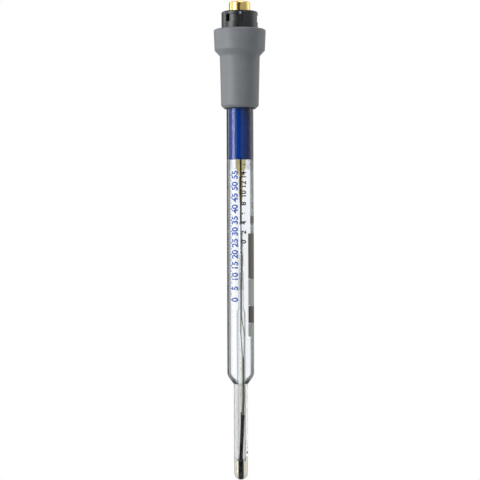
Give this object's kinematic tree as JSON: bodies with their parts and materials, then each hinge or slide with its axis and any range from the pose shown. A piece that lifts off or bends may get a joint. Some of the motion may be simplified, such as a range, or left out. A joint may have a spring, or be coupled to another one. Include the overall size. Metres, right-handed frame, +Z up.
{
  "type": "ph electrode",
  "caption": "Glass laboratory pH electrode with a narrow stem, round-ended membrane, built-in temperature sensor, grey cap and plug-in head with a gold coaxial contact.",
  "frame": {"origin": "lowest point of the glass membrane, on the axis of the shaft", "axes": "+Z up along the shaft, from the tip to the plug-in head; the index dot faces -Y"},
  "size_m": [0.023, 0.023, 0.212],
  "materials": {
    "clear_glass": "fire-polished clear glass tube",
    "membrane_glass": "thin pH-sensitive glass, faintly warm",
    "electrolyte": "clear salt solution",
    "clear_silicone": "clear cast silicone with small bubbles",
    "amber_resin": "translucent amber resin",
    "porous_ceramic": "porous sintered ceramic",
    "blue_silicone": "solid blue cast silicone",
    "grey_cap_plastic": "matte moulded grey plastic",
    "black_rubber": "moulded black rubber",
    "black_plastic": "moulded black plastic, slightly glossy",
    "pale_dot": "pale grey plastic pin",
    "gold_plate": "gold-plated brass, turned and polished",
    "white_insulator": "white turned PTFE",
    "silver_wire": "drawn silver wire",
    "silver_chloride": "grey-brown silver chloride",
    "black_sleeve": "black heat-shrunk sleeve",
    "khaki_insulation": "khaki wire insulation",
    "dark_insulation": "dark wire insulation",
    "thermistor_glaze": "glazed thermistor bead",
    "potting_resin": "black potting resin"
  },
  "bodies": {
    "root": {"stem_tube": "clear_glass", "shaft_tube": "clear_glass", "inner_tube": "clear_glass", "ph_membrane": "membrane_glass", "ceramic_junction": "porous_ceramic", "reference_electrolyte": "electrolyte", "inner_buffer": "electrolyte", "tube_seal": "clear_silicone", "lead_seal": "amber_resin", "blue_plug": "blue_silicone", "lead_cable": "dark_insulation", "sensor_wires": "dark_insulation", "head_wires": "dark_insulation", "sensor_cable": "khaki_insulation", "sensor_sleeve": "black_sleeve", "thermistor_bead": "thermistor_glaze", "inner_wire": "silver_wire", "reference_wire": "silver_wire", "inner_element": "silver_chloride", "reference_element": "silver_chloride", "cap": "grey_cap_plastic", "mouth_ring": "black_rubber", "connector_seal": "black_rubber", "connector_body": "black_plastic", "index_dot": "pale_dot", "coax_shell": "gold_plate", "coax_pin": "gold_plate", "contact_pins": "gold_plate", "coax_insulator": "white_insulator", "head_potting": "potting_resin"}
  },
  "joints": []
}
